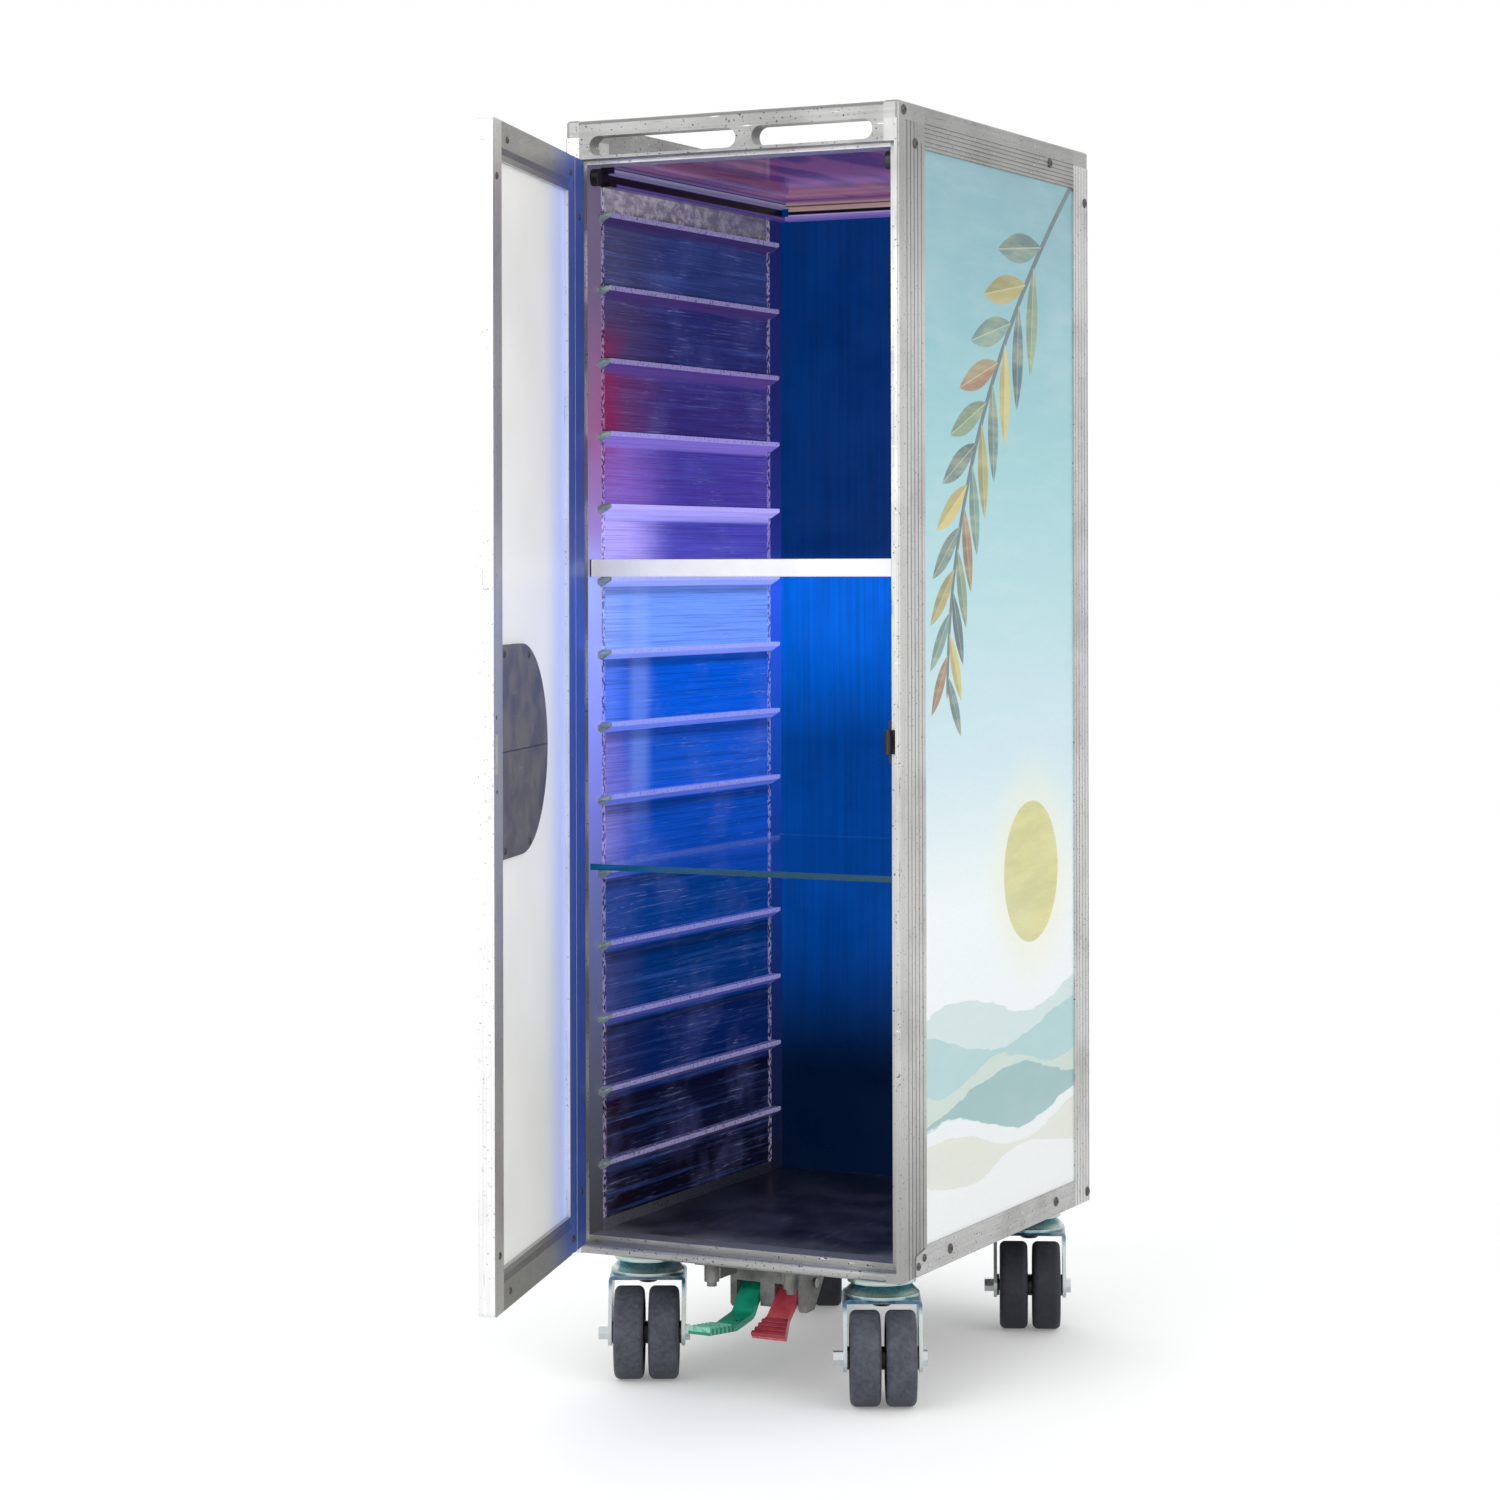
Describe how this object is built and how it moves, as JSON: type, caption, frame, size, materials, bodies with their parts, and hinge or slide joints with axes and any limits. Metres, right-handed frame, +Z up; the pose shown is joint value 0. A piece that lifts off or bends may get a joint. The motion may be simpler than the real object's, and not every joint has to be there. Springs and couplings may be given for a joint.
{
  "type": "bar trolley",
  "caption": "Narrow upright bar trolley: aluminium galley-cart frame on twin-wheel casters, frosted door standing open, blue-lit shelves, slotted gallery bars and foot brake pedals.",
  "frame": {"origin": "on the floor, under the centre of the bounding box of the whole trolley as it stands", "axes": "+Z up, +X to the right for a person facing the door side, +Y from the door side to the rear"},
  "size_m": [0.3098, 0.6872, 1.03],
  "materials": {
    "frame_aluminium": "extruded, worn and scratched",
    "door_aluminium": "satin, light",
    "cap_metal": "cast, satin",
    "inner_sheet": "satin sheet",
    "floor_sheet": "satin, dark grey",
    "printed_panel": "printed film, satin",
    "plain_panel": "satin laminate",
    "frosted_glazing": "frosted white",
    "clear_glass": "polished",
    "white_board": "satin white",
    "plug_plastic": "moulded",
    "light_strip": "lit blue diffuser",
    "black_plastic": "moulded",
    "latch_plastic": "moulded, dark grey",
    "latch_metal": "satin",
    "hinge_steel": "satin",
    "zinc_steel": "zinc plated, iridescent",
    "wheel_rubber": "moulded, charcoal",
    "brake_casting": "cast, grey",
    "shaft_steel": "turned",
    "red_pedal": "moulded, worn",
    "green_pedal": "moulded, worn"
  },
  "bodies": {
    "cabinet": {"post_front_left": "frame_aluminium", "post_front_right": "frame_aluminium", "posts_rear": "frame_aluminium", "gallery_front": "frame_aluminium", "gallery_rear": "frame_aluminium", "top_rails": "frame_aluminium", "header_front": "frame_aluminium", "sill_front": "frame_aluminium", "bottom_rails": "frame_aluminium", "bottom_rail_rear": "frame_aluminium", "slide_rails": "frame_aluminium", "slide_rail_rear": "frame_aluminium", "corner_caps": "cap_metal", "runner_wall_left": "inner_sheet", "runner_wall_right": "inner_sheet", "back_wall": "inner_sheet", "roof_panel": "inner_sheet", "floor_pan": "floor_sheet", "side_panel_left": "printed_panel", "side_panel_right": "printed_panel", "rear_panel": "plain_panel", "shelf_glass": "clear_glass", "shelf_white": "white_board", "runner_plugs": "plug_plastic", "led_strip": "light_strip", "striker": "black_plastic", "kingpins": "black_plastic", "hinge_leaf_post": "hinge_steel", "hinge_pin": "hinge_steel", "caster_plates": "zinc_steel", "brake_housing": "brake_casting", "brake_shaft": "shaft_steel"},
    "door": {"door_stile_hinge": "door_aluminium", "door_stile_latch": "door_aluminium", "door_rail_top": "door_aluminium", "door_rail_bottom": "door_aluminium", "door_glazing": "frosted_glazing", "latch_cup": "latch_plastic", "latch_cover": "latch_plastic", "hinge_leaf_door": "hinge_steel"},
    "latch_lever": {"latch_lever": "latch_metal"},
    "latch_bolt": {"latch_bolt": "latch_metal"},
    "pedal_red": {"pedal_red": "red_pedal"},
    "pedal_green": {"pedal_green": "green_pedal"},
    "swivel_front_left": {"fork_front_left": "zinc_steel", "axle_front_left": "zinc_steel"},
    "wheel_front_left_left": {"wheel_front_left_left": "wheel_rubber"},
    "wheel_front_left_right": {"wheel_front_left_right": "wheel_rubber"},
    "swivel_front_right": {"fork_front_right": "zinc_steel", "axle_front_right": "zinc_steel"},
    "wheel_front_right_left": {"wheel_front_right_left": "wheel_rubber"},
    "wheel_front_right_right": {"wheel_front_right_right": "wheel_rubber"},
    "swivel_rear_left": {"fork_rear_left": "zinc_steel", "axle_rear_left": "zinc_steel"},
    "wheel_rear_left_left": {"wheel_rear_left_left": "wheel_rubber"},
    "wheel_rear_left_right": {"wheel_rear_left_right": "wheel_rubber"},
    "swivel_rear_right": {"fork_rear_right": "zinc_steel", "axle_rear_right": "zinc_steel"},
    "wheel_rear_right_left": {"wheel_rear_right_left": "wheel_rubber"},
    "wheel_rear_right_right": {"wheel_rear_right_right": "wheel_rubber"}
  },
  "joints": [
    {"name": "door_hinge", "type": "hinge", "parent": "cabinet", "child": "door", "pos_m": [-0.15227, -0.06428, 0.5545], "axis": [0, 0, -1], "range_deg": [-73.76, 171.24]},
    {"name": "latch_turn", "type": "hinge", "parent": "door", "child": "latch_lever", "pos_m": [-0.08817, -0.25933, 0.527], "axis": [-0.9601, -0.2797, 0], "range_deg": [0, 90]},
    {"name": "latch_throw", "type": "slide", "parent": "door", "child": "latch_bolt", "axis": [0.2797, -0.9601, 0], "range_m": [0, 0.008]},
    {"name": "brake_red", "type": "hinge", "parent": "cabinet", "child": "pedal_red", "pos_m": [0.01278, 0.02362, 0.079], "axis": [-1, 0, 0], "range_deg": [0, 18]},
    {"name": "release_green", "type": "hinge", "parent": "cabinet", "child": "pedal_green", "pos_m": [-0.02172, 0.02362, 0.079], "axis": [-1, 0, 0], "range_deg": [-18, 0]},
    {"name": "swivel_front_left", "type": "hinge", "parent": "cabinet", "child": "swivel_front_left", "pos_m": [-0.11097, -0.00338, 0.0875], "axis": [0, 0, 1], "continuous": true},
    {"name": "roll_front_left_left", "type": "hinge", "parent": "swivel_front_left", "child": "wheel_front_left_left", "pos_m": [-0.10936, -0.03833, 0.0375], "axis": [0.8949, 0.4462, 0], "continuous": true},
    {"name": "roll_front_left_right", "type": "hinge", "parent": "swivel_front_left", "child": "wheel_front_left_right", "pos_m": [-0.08403, -0.0257, 0.0375], "axis": [0.8949, 0.4462, 0], "continuous": true},
    {"name": "swivel_front_right", "type": "hinge", "parent": "cabinet", "child": "swivel_front_right", "pos_m": [0.10203, -0.00338, 0.0875], "axis": [0, 0, 1], "continuous": true},
    {"name": "roll_front_right_left", "type": "hinge", "parent": "swivel_front_right", "child": "wheel_front_right_left", "pos_m": [0.10364, -0.03833, 0.0375], "axis": [0.8949, 0.4462, 0], "continuous": true},
    {"name": "roll_front_right_right", "type": "hinge", "parent": "swivel_front_right", "child": "wheel_front_right_right", "pos_m": [0.12897, -0.0257, 0.0375], "axis": [0.8949, 0.4462, 0], "continuous": true},
    {"name": "swivel_rear_left", "type": "hinge", "parent": "cabinet", "child": "swivel_rear_left", "pos_m": [-0.11097, 0.30762, 0.0875], "axis": [0, 0, 1], "continuous": true},
    {"name": "roll_rear_left_left", "type": "hinge", "parent": "swivel_rear_left", "child": "wheel_rear_left_left", "pos_m": [-0.10966, 0.27266, 0.0375], "axis": [0.8988, 0.4384, 0], "continuous": true},
    {"name": "roll_rear_left_right", "type": "hinge", "parent": "swivel_rear_left", "child": "wheel_rear_left_right", "pos_m": [-0.08422, 0.28507, 0.0375], "axis": [0.8988, 0.4384, 0], "continuous": true},
    {"name": "swivel_rear_right", "type": "hinge", "parent": "cabinet", "child": "swivel_rear_right", "pos_m": [0.10203, 0.30762, 0.0875], "axis": [0, 0, 1], "continuous": true},
    {"name": "roll_rear_right_left", "type": "hinge", "parent": "swivel_rear_right", "child": "wheel_rear_right_left", "pos_m": [0.10151, 0.27264, 0.0375], "axis": [0.9205, 0.3907, 0], "continuous": true},
    {"name": "roll_rear_right_right", "type": "hinge", "parent": "swivel_rear_right", "child": "wheel_rear_right_right", "pos_m": [0.12756, 0.2837, 0.0375], "axis": [0.9205, 0.3907, 0], "continuous": true}
  ],
  "couplings": [
    {"joint": "latch_throw", "follows": "latch_turn", "m_per_rad": 0.00509},
    {"joint": "release_green", "follows": "brake_red", "ratio": -1}
  ]
}
